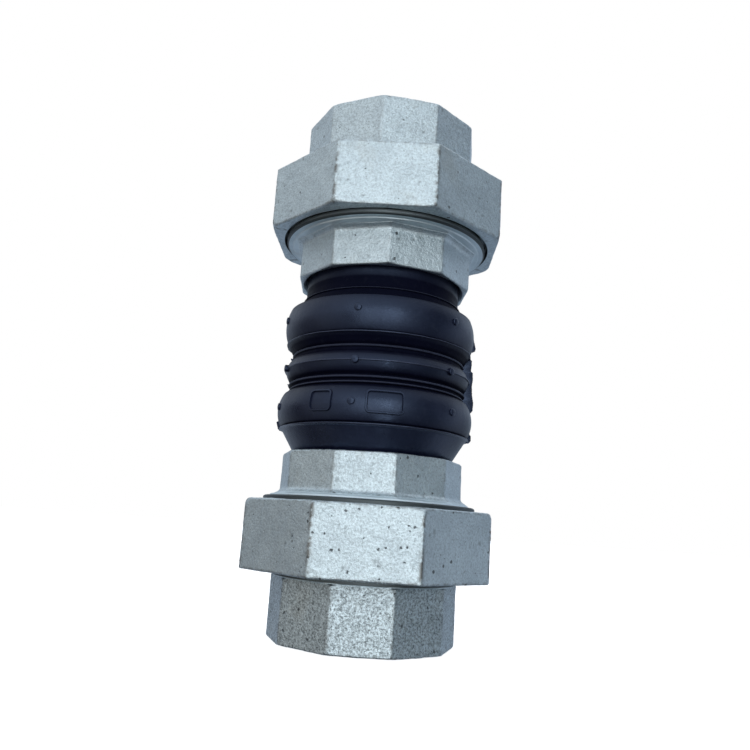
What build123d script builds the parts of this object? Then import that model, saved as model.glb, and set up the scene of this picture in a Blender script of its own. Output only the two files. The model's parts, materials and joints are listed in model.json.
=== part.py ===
"""DN 50 (2 inch) screwed union expansion joint with a twin-sphere moulded rubber bellows.

Units are millimetres. +Z runs up the flow axis from the lower pipe end, and the origin is the
centre of the lower end face. Azimuth -90 degrees (-Y) is the front.
Both unions are alike: the lower one is built first, and mirrored about the middle plane.
"""

import os
from math import cos, radians

from build123d import *

os.makedirs("parts", exist_ok=True)

# ---- driving dimensions ----------------------------------------------------------------------
face_to_face = 220.0          # end face to end face, unions tight
pipe_bore_radius = 25.0       # DN 50 waterway
pipe_thread_minor_radius = 56.656 / 2   # Rp 2, ISO 7-1
pipe_thread_major_radius = 59.614 / 2
pipe_thread_depth = 24.0
pipe_mouth_radius = pipe_thread_major_radius + 0.4
pipe_mouth_chamfer = 1.5      # along the axis
pipe_bore_cone = 3.0          # from the thread's end down to the waterway
union_thread_pitch_radius = 86.405 / 2  # G 3, ISO 228-1, drawn as a plain cylinder
union_thread_clearance = 0.1  # taken off the male and added to the female thread

decagon_flats = 72.0          # fitting and collar, across flats
casting_edge = 0.6            # chamfer on the decagons' end edges
nut_flats = 96.0              # union nut, across flats
nut_low_z = 26.7
nut_high_z = 53.6
nut_shoulder = 5.2            # thickness of the shoulder that pulls the fitting
nut_hole_radius = 38.8        # passes the fitting's corners
nut_mouth_radius = 44.9
nut_mouth_depth = 3.0
nut_bevel_start = 2.2         # corners are turned off at 45 degrees from this far outside the flats

turned_neck_radius = 37.3     # fitting is turned round here to pass through the nut's hole
turned_neck_z = 25.2
flange_radius = 41.6          # fitting's flange, caught by the nut's shoulder
seal_face_z = 38.0            # rubber lip meets the fitting here
collar_face_gap = 1.0         # metal to metal gap left by the lip
collar_rim_radius = 43.7
collar_rim_z = 55.4
collar_rim_height = 2.4
collar_rim_chamfer = 0.6
collar_cone_height = 3.0      # turned cone between the rim and the decagon
collar_thread_lead = 1.0      # chamfer that starts the union thread
collar_end_z = 73.2

lip_radius = 40.0
lip_thickness = 9.0
lip_clearance = 0.2
neck_radius = 33.0
neck_clearance = 0.1
mouth_radius = 34.9
mouth_flare = 5.0
mouth_flare_bow = (0.5, 2.4)  # the flare's arc passes this far outside the bore, this far down

waist_z = 108.8               # middle of the bellows
bulb_offset = 17.8            # waist to the crown of each bulb
bulb_radius = 41.0
bulb_half_width = 7.4
bulb_edge_radius = 39.2
groove_radius = 36.5
bulb_edge_step = 1.2          # height of the step from a bulb's edge down into the groove
band_radius = 39.2            # moulded band over the root ring
band_edge_radius = 38.0
band_below = 6.0              # the band reaches this far below and above the waist
band_above = 3.2
band_low_step = 1.0           # height of the step from the groove up to the band
band_high_step = 0.8
band_high_groove = 1.6        # width of the groove above the band
neck_ridge_radius = 35.6
neck_ridge_low = 2.0          # the ridge's two edges and its foot, above the upper bulb's edge
neck_ridge_high = 4.2
neck_ridge_foot = 6.2
inner_bulb_radius = 32.6
inner_waist_radius = 28.4
straight_neck = 16.0          # the waterway stays cylindrical this far past each lip
tube_thickness = 2.6
ply_thickness = 1.6
zone_reaches = (8.8, 22.2, 35.6)  # flexing joints sit at these distances from the waist
root_ring_radius = 35.0
root_ring_wire = 2.0          # radius of the wire
bead_ring_radius = 36.4
bead_ring_wire = 1.6

collar_turn = -4.0            # how each casting happens to stand about the axis, degrees
upper_fitting_turn = 10.0
upper_collar_turn = 20.0
upper_nut_turn = -2.0

octagon_front = 22.5          # turns an octagon so that a flat faces the front

middle_plane = Plane.XY.offset(face_to_face / 2)


def corner_radius(flats, sides):
    """Circumradius of a regular polygon, from its size across flats."""
    return flats / 2 / cos(radians(180 / sides))


decagon_radius = corner_radius(decagon_flats, 10)
nut_radius = corner_radius(nut_flats, 8)


# ---- end fitting: decagon with a female pipe thread and a flange inside the nut ---------------
def build_fitting():
    flange_low = nut_low_z + nut_shoulder
    with BuildPart() as fitting:
        with BuildSketch():
            RegularPolygon(decagon_radius, 10)
        extrude(amount=turned_neck_z)
        chamfer(fitting.edges().group_by(Axis.Z)[0], casting_edge)
        with BuildSketch(Plane.XY.offset(turned_neck_z)):
            Circle(turned_neck_radius)
        extrude(amount=flange_low - turned_neck_z)
        with BuildSketch(Plane.XY.offset(flange_low)):
            Circle(flange_radius)
        extrude(amount=seal_face_z - flange_low)
        # threaded socket, its mouth chamfer, and the waterway beyond it
        with BuildSketch(Plane.XZ):
            with BuildLine():
                Polyline(
                    (0, 0),
                    (pipe_mouth_radius, 0),
                    (pipe_thread_minor_radius, pipe_mouth_chamfer),
                    (pipe_thread_minor_radius, pipe_thread_depth),
                    (pipe_bore_radius, pipe_thread_depth + pipe_bore_cone),
                    (pipe_bore_radius, seal_face_z),
                    (0, seal_face_z),
                    close=True,
                )
            make_face()
        revolve(axis=Axis.Z, mode=Mode.SUBTRACT)
    return fitting.part


# ---- union nut: octagon with a shoulder at the pipe side and a thread at the rubber side -------
def build_nut():
    thread_radius = union_thread_pitch_radius + union_thread_clearance
    bevel_radius = nut_flats / 2 + nut_bevel_start
    with BuildPart() as nut:
        with BuildSketch(Plane.XY.offset(nut_low_z)):
            RegularPolygon(nut_radius, 8, rotation=octagon_front)
        extrude(amount=nut_high_z - nut_low_z)
        # corners turned off at the rubber side
        with BuildSketch(Plane.XZ):
            with BuildLine():
                Polyline(
                    (bevel_radius, nut_high_z),
                    (nut_radius, nut_high_z),
                    (nut_radius, nut_high_z - (nut_radius - bevel_radius)),
                    close=True,
                )
            make_face()
        revolve(axis=Axis.Z, mode=Mode.SUBTRACT)
        with BuildSketch(Plane.XZ):
            with BuildLine():
                Polyline(
                    (0, nut_low_z),
                    (nut_hole_radius, nut_low_z),
                    (nut_hole_radius, nut_low_z + nut_shoulder),
                    (thread_radius, nut_low_z + nut_shoulder),
                    (thread_radius, nut_high_z - nut_mouth_depth),
                    (nut_mouth_radius, nut_high_z - nut_mouth_depth),
                    (nut_mouth_radius, nut_high_z),
                    (0, nut_high_z),
                    close=True,
                )
            make_face()
        revolve(axis=Axis.Z, mode=Mode.SUBTRACT)
    return nut.part


# ---- collar: decagon round the rubber neck, with the male union thread ------------------------
def build_collar():
    collar_face_z = seal_face_z + collar_face_gap
    pocket_z = seal_face_z + lip_thickness
    thread_radius = union_thread_pitch_radius - union_thread_clearance
    with BuildPart() as collar:
        with BuildSketch(Plane.XY.offset(collar_rim_z)):
            RegularPolygon(decagon_radius, 10)
        extrude(amount=collar_end_z - collar_rim_z)
        chamfer(collar.edges().group_by(Axis.Z)[-1], casting_edge)
        # threaded barrel, rim and the cone that joins the rim to the decagon
        with BuildSketch(Plane.XZ):
            with BuildLine():
                Polyline(
                    (0, collar_face_z),
                    (thread_radius - collar_thread_lead, collar_face_z),
                    (thread_radius, collar_face_z + collar_thread_lead),
                    (thread_radius, collar_rim_z - collar_rim_height),
                    (collar_rim_radius, collar_rim_z - collar_rim_height),
                    (collar_rim_radius, collar_rim_z - collar_rim_chamfer),
                    (collar_rim_radius - collar_rim_chamfer, collar_rim_z),
                    (decagon_flats / 2, collar_rim_z + collar_cone_height),
                    (0, collar_rim_z + collar_cone_height),
                    close=True,
                )
            make_face()
        revolve(axis=Axis.Z)
        # pocket for the rubber lip, bore for the neck, flared mouth
        bore = neck_radius + neck_clearance
        bow_out, bow_down = mouth_flare_bow
        with BuildSketch(Plane.XZ):
            with BuildLine():
                Polyline(
                    (bore, collar_end_z - mouth_flare),
                    (bore, pocket_z),
                    (lip_radius + lip_clearance, pocket_z),
                    (lip_radius + lip_clearance, collar_face_z),
                    (0, collar_face_z),
                    (0, collar_end_z),
                    (mouth_radius, collar_end_z),
                )
                ThreePointArc(
                    (mouth_radius, collar_end_z),
                    (bore + bow_out, collar_end_z - bow_down),
                    (bore, collar_end_z - mouth_flare),
                )
            make_face()
        revolve(axis=Axis.Z, mode=Mode.SUBTRACT)
    return collar.part


# ---- rubber bellows: inner tube, cord ply and outer cover, cut into the zones that flex --------
lower_lip_z = seal_face_z
upper_lip_z = face_to_face - seal_face_z
lower_bulb_z = waist_z - bulb_offset
upper_bulb_z = waist_z + bulb_offset
ply_depth = tube_thickness
cover_depth = tube_thickness + ply_thickness


def lining(depth):
    """Everything nearer than depth to the waterway wall or to a lip's sealing face."""
    wall = pipe_bore_radius + depth
    low_neck = (wall, lower_lip_z + lip_thickness + straight_neck)
    high_neck = (wall, upper_lip_z - lip_thickness - straight_neck)
    with BuildPart() as core:
        with BuildSketch(Plane.XZ):
            with BuildLine():
                Spline(
                    low_neck,
                    (inner_bulb_radius + depth, lower_bulb_z),
                    (inner_waist_radius + depth, waist_z),
                    (inner_bulb_radius + depth, upper_bulb_z),
                    high_neck,
                    tangents=[(0, 1), (0, 1)],
                )
                Polyline(
                    high_neck,
                    (wall, upper_lip_z),
                    (0, upper_lip_z),
                    (0, lower_lip_z),
                    (wall, lower_lip_z),
                    low_neck,
                )
            make_face()
        revolve(axis=Axis.Z)
        if depth > 0:
            with BuildSketch(Plane.XY.offset(lower_lip_z)):
                Circle(lip_radius)
            extrude(amount=depth)
            with BuildSketch(Plane.XY.offset(upper_lip_z)):
                Circle(lip_radius)
            extrude(amount=-depth)
    return core.part


def build_layer(inner_depth, outer_depth):
    with BuildPart() as layer:
        add(lining(outer_depth))
        add(lining(inner_depth), mode=Mode.SUBTRACT)
    return layer.part


def build_outline():
    """Solid of the bellows' outer shape, from lip to lip."""
    band_low = waist_z - band_below
    band_high = waist_z + band_above
    lower_bulb_low = lower_bulb_z - bulb_half_width
    lower_bulb_high = lower_bulb_z + bulb_half_width
    upper_bulb_low = upper_bulb_z - bulb_half_width
    upper_bulb_high = upper_bulb_z + bulb_half_width
    groove_top = band_high + band_high_step + band_high_groove
    with BuildPart() as outline:
        with BuildSketch(Plane.XZ):
            with BuildLine():
                Polyline(
                    (0, lower_lip_z),
                    (lip_radius, lower_lip_z),
                    (lip_radius, lower_lip_z + lip_thickness),
                    (neck_radius, lower_lip_z + lip_thickness),
                    (neck_radius, collar_end_z),
                    (bulb_edge_radius, lower_bulb_low),
                )
                ThreePointArc(
                    (bulb_edge_radius, lower_bulb_low),
                    (bulb_radius, lower_bulb_z),
                    (bulb_edge_radius, lower_bulb_high),
                )
                Polyline(
                    (bulb_edge_radius, lower_bulb_high),
                    (groove_radius, lower_bulb_high + bulb_edge_step),
                    (groove_radius, band_low - band_low_step),
                    (band_edge_radius, band_low),
                )
                ThreePointArc(
                    (band_edge_radius, band_low),
                    (band_radius, (band_low + band_high) / 2),
                    (band_edge_radius, band_high),
                )
                Polyline(
                    (band_edge_radius, band_high),
                    (groove_radius, band_high + band_high_step),
                    (groove_radius, groove_top),
                    (bulb_edge_radius, upper_bulb_low),
                )
                ThreePointArc(
                    (bulb_edge_radius, upper_bulb_low),
                    (bulb_radius, upper_bulb_z),
                    (bulb_edge_radius, upper_bulb_high),
                )
                Polyline(
                    (bulb_edge_radius, upper_bulb_high),
                    (neck_ridge_radius, upper_bulb_high + neck_ridge_low),
                    (neck_ridge_radius, upper_bulb_high + neck_ridge_high),
                    (neck_radius, upper_bulb_high + neck_ridge_foot),
                    (neck_radius, upper_lip_z - lip_thickness),
                    (lip_radius, upper_lip_z - lip_thickness),
                    (lip_radius, upper_lip_z),
                    (0, upper_lip_z),
                    (0, lower_lip_z),
                )
            make_face()
        revolve(axis=Axis.Z)
    return outline.part


def build_ring(radius, wire, height):
    with BuildPart() as ring:
        with BuildSketch(Plane.XZ):
            with Locations((radius, height)):
                Circle(wire)
        revolve(axis=Axis.Z)
    return ring.part


def cut_zone(layer, low, high):
    """The stretch of a rubber layer between two heights."""
    with BuildPart() as zone:
        add(layer)
        with BuildSketch(Plane.XY.offset(low)):
            Circle(2 * bulb_radius)
        extrude(amount=high - low, mode=Mode.INTERSECT)
    return zone.part


def upper_twin(lower_part, turn):
    """The same casting on the upper union, turned about the axis by turn degrees."""
    with BuildPart() as twin:
        mirror(lower_part.rotate(Axis.Z, turn), about=middle_plane)
    return twin.part


def save(piece, name):
    piece.label = name
    export_step(piece, f"parts/{name}.step")


# ---- castings ----------------------------------------------------------------------------------
fitting = build_fitting()
nut = build_nut()
collar = build_collar()
save(fitting, "lower_end_fitting")
save(nut, "lower_union_nut")
save(collar.rotate(Axis.Z, collar_turn), "lower_collar")
save(upper_twin(fitting, upper_fitting_turn), "upper_end_fitting")
save(upper_twin(nut, upper_nut_turn), "upper_union_nut")
save(upper_twin(collar, upper_collar_turn), "upper_collar")

# ---- wire rings --------------------------------------------------------------------------------
bead_height = cover_depth + (lip_thickness - cover_depth) / 2
root_ring = build_ring(root_ring_radius, root_ring_wire, waist_z)
lower_bead = build_ring(bead_ring_radius, bead_ring_wire, lower_lip_z + bead_height)
upper_bead = build_ring(bead_ring_radius, bead_ring_wire, upper_lip_z - bead_height)
save(root_ring, "root_ring")
save(lower_bead, "lower_bead_ring")
save(upper_bead, "upper_bead_ring")

# ---- rubber layers -----------------------------------------------------------------------------
with BuildPart() as cover:
    add(build_outline())
    add(lining(cover_depth), mode=Mode.SUBTRACT)
    for ring in (root_ring, lower_bead, upper_bead):
        add(ring, mode=Mode.SUBTRACT)

layers = {
    "tube": build_layer(0, ply_depth),
    "cord_ply": build_layer(ply_depth, cover_depth),
    "cover": cover.part,
}
zone_names = (
    "lower_end",
    "lower_neck",
    "lower_bulb",
    "waist",
    "upper_bulb",
    "upper_neck",
    "upper_end",
)
zone_edges = (
    [lower_lip_z]
    + [waist_z - reach for reach in reversed(zone_reaches)]
    + [waist_z + reach for reach in zone_reaches]
    + [upper_lip_z]
)
for layer_name, layer in layers.items():
    for zone_name, low, high in zip(zone_names, zone_edges, zone_edges[1:]):
        save(cut_zone(layer, low, high), f"{layer_name}_{zone_name}")
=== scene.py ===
"""Looks for a screwed union expansion joint: two zinc-plated cast unions and a twin-sphere bellows."""

import json
import math
from collections import namedtuple

import bpy
import numpy as np
from mathutils import Matrix, Vector


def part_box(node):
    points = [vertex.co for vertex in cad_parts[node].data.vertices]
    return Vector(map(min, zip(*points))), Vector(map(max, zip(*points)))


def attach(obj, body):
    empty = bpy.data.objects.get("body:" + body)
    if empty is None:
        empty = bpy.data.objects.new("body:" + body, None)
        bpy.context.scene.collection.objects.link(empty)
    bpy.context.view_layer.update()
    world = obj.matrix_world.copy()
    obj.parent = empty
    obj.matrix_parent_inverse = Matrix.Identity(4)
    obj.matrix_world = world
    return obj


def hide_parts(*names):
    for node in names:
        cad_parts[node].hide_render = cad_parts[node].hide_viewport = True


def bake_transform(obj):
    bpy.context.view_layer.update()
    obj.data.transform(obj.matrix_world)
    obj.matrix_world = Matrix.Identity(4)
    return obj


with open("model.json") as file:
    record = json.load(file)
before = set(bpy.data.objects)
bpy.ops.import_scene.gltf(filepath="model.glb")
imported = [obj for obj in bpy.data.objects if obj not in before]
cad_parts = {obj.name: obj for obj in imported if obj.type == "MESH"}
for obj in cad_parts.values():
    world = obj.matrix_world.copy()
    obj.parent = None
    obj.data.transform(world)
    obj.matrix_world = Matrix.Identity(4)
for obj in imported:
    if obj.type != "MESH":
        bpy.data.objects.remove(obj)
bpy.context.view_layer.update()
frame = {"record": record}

MM = 0.001
TURN = 2 * math.pi
LOW, HIGH = 0, 1

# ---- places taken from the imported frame, in millimetres ----


def top(node):
    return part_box(node)[HIGH][2] / MM


def bottom(node):
    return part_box(node)[LOW][2] / MM


def reach(node):
    """Radius of a round node, or half the width across flats of a nut."""
    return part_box(node)[HIGH][0] / MM


def joint_height(name):
    joints = {joint["name"]: joint for joint in frame["record"]["behaviour"]["joints"]}
    return joints[name]["pos_m"][2] / MM


LENGTH = top("upper_end_fitting")
SEAL_Z = top("lower_end_fitting")
NUT_LOW = bottom("lower_union_nut")
NUT_HIGH = top("lower_union_nut")
COLLAR_LOW = bottom("lower_collar")
COLLAR_HIGH = top("lower_collar")
FLANGE_R = reach("lower_end_fitting")
RIM_R = reach("lower_collar")
LIP_R = reach("cover_lower_end")
BULB_R = reach("cover_lower_bulb")
BAND_R = reach("cover_waist")
NUT_FLATS = 2 * reach("lower_union_nut")
DECAGON_FLATS = 72.0
LOWER_TILT_Z = joint_height("lower_tilt_fore_aft")
LOWER_SWAY_Z = joint_height("lower_tilt_sideways")
UPPER_SWAY_Z = joint_height("upper_tilt_sideways")
UPPER_TILT_Z = joint_height("upper_tilt_fore_aft")
WAIST_Z = (LOWER_SWAY_Z + UPPER_SWAY_Z) / 2
BORE_R = 25.0
LIP_THICK = 9.0
CLEARANCE = 0.05  # keeps the pressed-together faces of two pieces apart
NECK_R = 33.0

# ---- small maths ----


def lattice(ix, iy, iz, seed):
    """Repeatable random numbers from -1 to 1 at whole-number points."""
    h = ix.astype(np.uint64) * np.uint64(374761393) + iy.astype(np.uint64) * np.uint64(668265263)
    h = h + iz.astype(np.uint64) * np.uint64(2147483647) + np.uint64(seed * 974711)
    h = (h ^ (h >> np.uint64(13))) * np.uint64(1274126177)
    h = (h ^ (h >> np.uint64(16))) & np.uint64(0xFFFF)
    return h.astype(float) / 32767.5 - 1


def value_noise(points, size, seed):
    """Smooth noise from -1 to 1, with features about size across."""
    q = points / size + 1000.0
    base = np.floor(q)
    f = q - base
    f = f * f * (3 - 2 * f)
    base = base.astype(np.int64)
    total = np.zeros(len(points))
    for dx in (0, 1):
        for dy in (0, 1):
            for dz in (0, 1):
                weight = np.abs(1 - dx - f[:, 0]) * np.abs(1 - dy - f[:, 1]) * np.abs(1 - dz - f[:, 2])
                total += weight * lattice(base[:, 0] + dx, base[:, 1] + dy, base[:, 2] + dz, seed)
    return total


def soft_min(a, b, softness):
    """The smaller of two lengths, with the crossing rounded."""
    h = np.clip(0.5 + 0.5 * (b - a) / softness, 0, 1)
    return b * (1 - h) + a * h - softness * h * (1 - h)


# ---- solids turned or cast round the axis ----

COLUMNS = 480
PACKING = 0.3  # 0 spaces a polygon's columns evenly, higher packs them at its corners


class Loop:
    """A closed section carried round the axis. Every row is a ring of radii and heights in mm."""

    def __init__(self, sides, turn, step):
        """Columns lie on a polygon's sides, packed close at its corners; one side is at angle turn."""
        across = COLUMNS // sides
        u = (np.arange(across) + 0.5) / across * 2 - 1
        packed = TURN / sides / 2 * ((1 + PACKING) * u - PACKING * u**3)
        self.angles = (turn + (np.arange(sides) * TURN / sides)[:, None] + packed[None]).ravel()
        self.pitch = TURN / sides
        self.from_middle = (self.angles - turn + self.pitch / 2) % self.pitch - self.pitch / 2
        self.step = step
        self.stops = []

    def outline(self, flats, softness):
        """The polygon's radius at every column, with its corners rounded."""
        face = flats / 2 / np.cos(self.from_middle)
        next_face = flats / 2 / np.cos(self.pitch - np.abs(self.from_middle))
        return soft_min(face, next_face, softness)

    def corner_nearness(self, width):
        """1 at the polygon's corners, falling to 0 within width degrees."""
        away = np.degrees(self.pitch / 2 - np.abs(self.from_middle))
        return np.exp(-((away / width) ** 2))

    def corner(self, radius, height, soft=0.0, cast=0.0):
        """A corner of the section, rounded over the distance soft on both sides."""
        r = np.broadcast_to(np.asarray(radius, float), self.angles.shape)
        z = np.broadcast_to(np.asarray(height, float), self.angles.shape)
        self.stops.append((np.stack([r, z], -1)[None], soft, cast))
        return self

    def run(self, radii, heights, cast=0.0):
        """Rows given outright: radii and heights are rows by columns."""
        shape = (len(heights), len(self.angles))
        r = np.broadcast_to(np.asarray(radii, float), shape)
        z = np.broadcast_to(np.asarray(heights, float).reshape(len(heights), -1), shape)
        self.stops.append((np.stack([r, z], -1), 0.0, cast))
        return self

    def rows(self):
        """All rows of the section, and how much each one keeps its cast skin."""
        found, cast = [], []
        count = len(self.stops)
        for i, (stop, soft, skin) in enumerate(self.stops):
            before = self.stops[i - 1][0][-1]
            after = self.stops[(i + 1) % count][0][0]
            here = stop
            if soft > 0:
                here = self.rounded(stop[0], before, after, soft)
            if found:
                self.join(found, cast, here[0])
            for row in here:
                found.append(row)
                cast.append(skin)
        self.join(found, cast, found[0])
        return np.array(found), np.array(cast)

    def join(self, found, cast, target):
        """Adds rows along the straight stretch from the last row to target."""
        start = found[-1]
        gap = np.linalg.norm(target - start, axis=-1).mean()
        parts = max(1, int(round(gap / self.step)))
        for k in range(1, parts):
            found.append(start + (target - start) * k / parts)
            cast.append(cast[-1])

    @staticmethod
    def rounded(corner, before, after, soft):
        def toward(point):
            away = point - corner
            length = np.maximum(np.linalg.norm(away, axis=-1, keepdims=True), 1e-6)
            return corner + away / length * np.minimum(soft, 0.45 * length)

        a, b = toward(before), toward(after)
        steps = (0, 0.25, 0.5, 0.75, 1)
        return [(1 - t) ** 2 * a + 2 * t * (1 - t) * corner + t * t * b for t in steps]


def ring_points(angles, rows):
    r, z = rows[..., 0], rows[..., 1]
    return np.stack([r * np.cos(angles), r * np.sin(angles), z], -1)


def grid_normals(points):
    along = np.roll(points, -1, 0) - np.roll(points, 1, 0)
    around = np.roll(points, -1, 1) - np.roll(points, 1, 1)
    n = np.cross(around, along)
    return n / np.maximum(np.linalg.norm(n, axis=-1, keepdims=True), 1e-9)


def grid_quads(rows, columns, closed_rows=True):
    i = np.arange(rows if closed_rows else rows - 1)[:, None]
    j = np.arange(columns)[None]
    i2, j2 = (i + 1) % rows, (j + 1) % columns
    corners = [i * columns + j, i * columns + j2, i2 * columns + j2, i2 * columns + j]
    return np.stack([np.broadcast_to(c, (i.shape[0], columns)) for c in corners], -1).reshape(-1, 4)


def outward(points, quads):
    """Quads turned so that a closed shape's faces look outwards."""
    a, b, c, d = (points[quads[:, k]] for k in range(4))
    volume = np.einsum("ij,ij->", a, np.cross(b, c) + np.cross(c, d)) / 6
    return quads if volume > 0 else quads[:, ::-1]


def make_piece(name, shapes, material, extra=None, crease=38.0):
    """One mesh object from closed shapes, each a pair of points in mm and quads."""
    points = np.concatenate([p for p, _ in shapes])
    starts = np.cumsum([0] + [len(p) for p, _ in shapes])
    quads = np.concatenate([outward(p, q) + s for (p, q), s in zip(shapes, starts)])
    mesh = bpy.data.meshes.new(name)
    mesh.vertices.add(len(points))
    mesh.vertices.foreach_set("co", (points * MM).astype(np.float32).ravel())
    mesh.loops.add(quads.size)
    mesh.loops.foreach_set("vertex_index", quads.astype(np.int32).ravel())
    mesh.polygons.add(len(quads))
    mesh.polygons.foreach_set("loop_start", np.arange(0, quads.size, 4, dtype=np.int32))
    mesh.polygons.foreach_set("use_smooth", np.ones(len(quads), dtype=bool))
    for label, values in (extra or {}).items():
        padded = np.zeros(len(points), dtype=np.float32)
        padded[: len(values)] = values
        mesh.attributes.new(label, "FLOAT", "POINT").data.foreach_set("value", padded)
    mesh.update(calc_edges=True)
    mesh.validate()
    mesh.set_sharp_from_angle(angle=math.radians(crease))
    mesh.materials.append(material)
    piece = bpy.data.objects.new(name, mesh)
    bpy.context.scene.collection.objects.link(piece)
    return piece


# ---- cast skin ----

# grain from fine 0 to coarse 1, share of cells that hold a blowhole, and wear of the edges from 0 to 1
Skin = namedtuple("Skin", "coarse holed worn")

GRAIN = ((9.0, 0.10), (3.2, 0.055), (1.3, 0.062))  # feature size and height of the sand-cast skin
RIM_WEAR = 0.55  # wear along a casting's two ends, as a share of its corners' wear
RIM_INSET = 0.55  # how far in from each end the wear lies
RIM_BAND = 0.35  # and how wide it is


def cast_skin(points, normals, cast, seed, pits):
    """Roughens cast rows with sand grain and pits. Returns the points and how pitted each one is."""
    flat = points.reshape(-1, 3)
    shift = np.zeros(len(flat))
    for k, (size, height) in enumerate(GRAIN):
        shift += height * value_noise(flat, size, seed + k)
    keep = np.repeat(cast, points.shape[1])
    shift *= keep
    pitted = np.zeros(len(flat))
    rng = np.random.default_rng(seed)
    skin = np.flatnonzero(keep > 0.5)
    for centre in rng.choice(skin, pits, replace=False):
        width = rng.uniform(0.4, 0.75)
        depth = rng.uniform(0.10, 0.28)
        near = np.exp(-((np.linalg.norm(flat - flat[centre], axis=1) / width) ** 2))
        shift -= depth * near * keep
        pitted = np.maximum(pitted, near * keep)
    return flat + normals.reshape(-1, 3) * shift[:, None], pitted


def finish_casting(name, loop, material, seed, pits, edge, grime_and_shade, skin):
    """Makes a casting. edge is each column's nearness to a corner; grime(radius, height) darkens the
    colour: mostly painted shade in gaps and under overhangs, partly grease on threads.
    """
    rows, cast = loop.rows()
    points = ring_points(loop.angles, rows)
    moved, pitted = cast_skin(points, grid_normals(points), cast, seed, pits)
    heights = rows[..., 1]
    skin_heights = heights[cast > 0.9]
    rims = (skin_heights.min() + RIM_INSET, skin_heights.max() - RIM_INSET)
    rim = sum(np.exp(-(((heights - height) / RIM_BAND) ** 2)) for height in rims)
    wear = np.maximum(edge[None], RIM_WEAR * rim) * cast[:, None]
    extra = {
        "cast": np.repeat(cast, len(loop.angles)),
        "pit": pitted,
        "edge": (skin.worn * wear).ravel(),
        # darkening per point: mostly painted shade in gaps and under overhangs, partly grease on
        # threads
        "grime_and_shade": grime_and_shade(rows[..., 0], rows[..., 1]).astype(float).ravel(),
        "coarse": np.full(rows[..., 0].size, skin.coarse),
        "holed": np.full(rows[..., 0].size, skin.holed),
    }
    return make_piece(name, [(moved, grid_quads(*points.shape[:2]))], material, extra)


def thread_rows(angles, low, high, root, crest, phase, step=0.24, run_in=1.6):
    """Rows of a right-hand screw thread between two heights; root and crest are radii."""
    heights = np.linspace(low, high, int((high - low) / step))
    wave = ((heights[:, None] / THREAD_PITCH - angles[None] / TURN + phase) % 1.0) * 2 - 1
    tooth = np.clip(1.45 - 1.9 * np.abs(wave), 0, 1)
    tooth = tooth * tooth * (3 - 2 * tooth)
    ends = np.clip(np.minimum(heights - low, high - heights) / run_in, 0, 1)[:, None]
    return root + (crest - root) * tooth * ends, heights


def place_upper(piece, turn):
    """Swings a lower casting onto the upper union, keeping its threads right-handed."""
    flip = Matrix.Translation((0, 0, LENGTH * MM)) @ Matrix.Rotation(math.pi, 4, "X")
    piece.data.transform(Matrix.Rotation(math.radians(turn), 4, "Z") @ flip)
    return piece


# ---- castings ----

CAST_STEP = 0.5
THREAD_PITCH = 25.4 / 11
SHOULDER = 5.2  # thickness of the nut's end wall
HOLE_R = 38.8  # hole in that wall, round the fitting
MOUTH_R = 44.9  # plain bore at the nut's open end
MOUTH_DEPTH = 3.0
PIPE_MINOR_R, PIPE_MAJOR_R = 28.328, 29.807
PIPE_DEPTH = 24.0
MALE_ROOT_R, MALE_CREST_R = 42.4, 43.75
FEMALE_ROOT_R, FEMALE_CREST_R = 44.1, 42.75
DECAGON_TURN = math.pi / 10  # puts a flat at the front
OCTAGON_TURN = 0.0


def wall_heights(low, high, soft, step):
    """Heights for a wall, packed close where its ends are rounded."""
    bend = soft * (1 - np.cos(np.linspace(0, math.pi / 2, 6)))
    middle = np.linspace(low + soft, high - soft, max(3, int((high - low) / step)))
    return np.concatenate([low + bend[:-1], middle, high - bend[-2::-1]])


def cast_wall(outline, z, low, high, soft, bevel_z, bevel_r, bevel_soft):
    """A polygon wall with rounded ends. A cone at 45 degrees, bevel_r at bevel_z, cuts its corners."""
    cone = bevel_r + np.abs(bevel_z - z)
    wall = soft_min(outline[None], cone[:, None], bevel_soft)
    gap = np.clip(np.minimum(z - low, high - z) / soft, 0, 1)
    return wall - soft * (1 - np.sqrt(np.clip(1 - (1 - gap) ** 2, 0, 1)))[:, None]


def end_fitting(name, seed, material, skin):
    loop = Loop(10, DECAGON_TURN, CAST_STEP)
    outline = loop.outline(DECAGON_FLATS, 0.3)
    under = NUT_LOW + SHOULDER + CLEARANCE
    face = SEAL_Z - CLEARANCE
    turned_r, turned_z = 37.3, 24.5
    soft = 0.7
    z = wall_heights(0.0, turned_z + soft, soft, CAST_STEP)
    z = z[z < turned_z]
    wall = cast_wall(outline, z, 0.0, LENGTH, soft, 0.0, DECAGON_FLATS / 2 + 1.2, 0.4)
    dip = np.minimum(wall[-1], turned_r - 0.05)
    thread = thread_rows(loop.angles, 1.5, PIPE_DEPTH, PIPE_MINOR_R, PIPE_MAJOR_R, 0.0)
    loop.corner(PIPE_MAJOR_R + 0.4, 0.0, 0.2)
    loop.run(wall, z, 1.0)
    loop.corner(dip, turned_z, 0.0, 0.3)
    loop.corner(turned_r, turned_z + 0.25, 0.15)
    loop.corner(turned_r, under, 0.2)
    loop.corner(FLANGE_R, under, 0.4)
    loop.corner(FLANGE_R, face, 0.4)
    loop.corner(BORE_R, face, 0.5)
    loop.corner(BORE_R, PIPE_DEPTH + 3, 1.0, 0.6)
    loop.run(thread[0][::-1], thread[1][::-1])
    edge = loop.corner_nearness(1.2)

    # painted shade: the turned neck is darkened where the nut's overhang shades it
    def grime_and_shade(radius, height):
        return 0.95 * ((height > turned_z + 0.3) & (radius > turned_r - 1))

    return finish_casting(name, loop, material, seed, 26, edge, grime_and_shade, skin)


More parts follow.
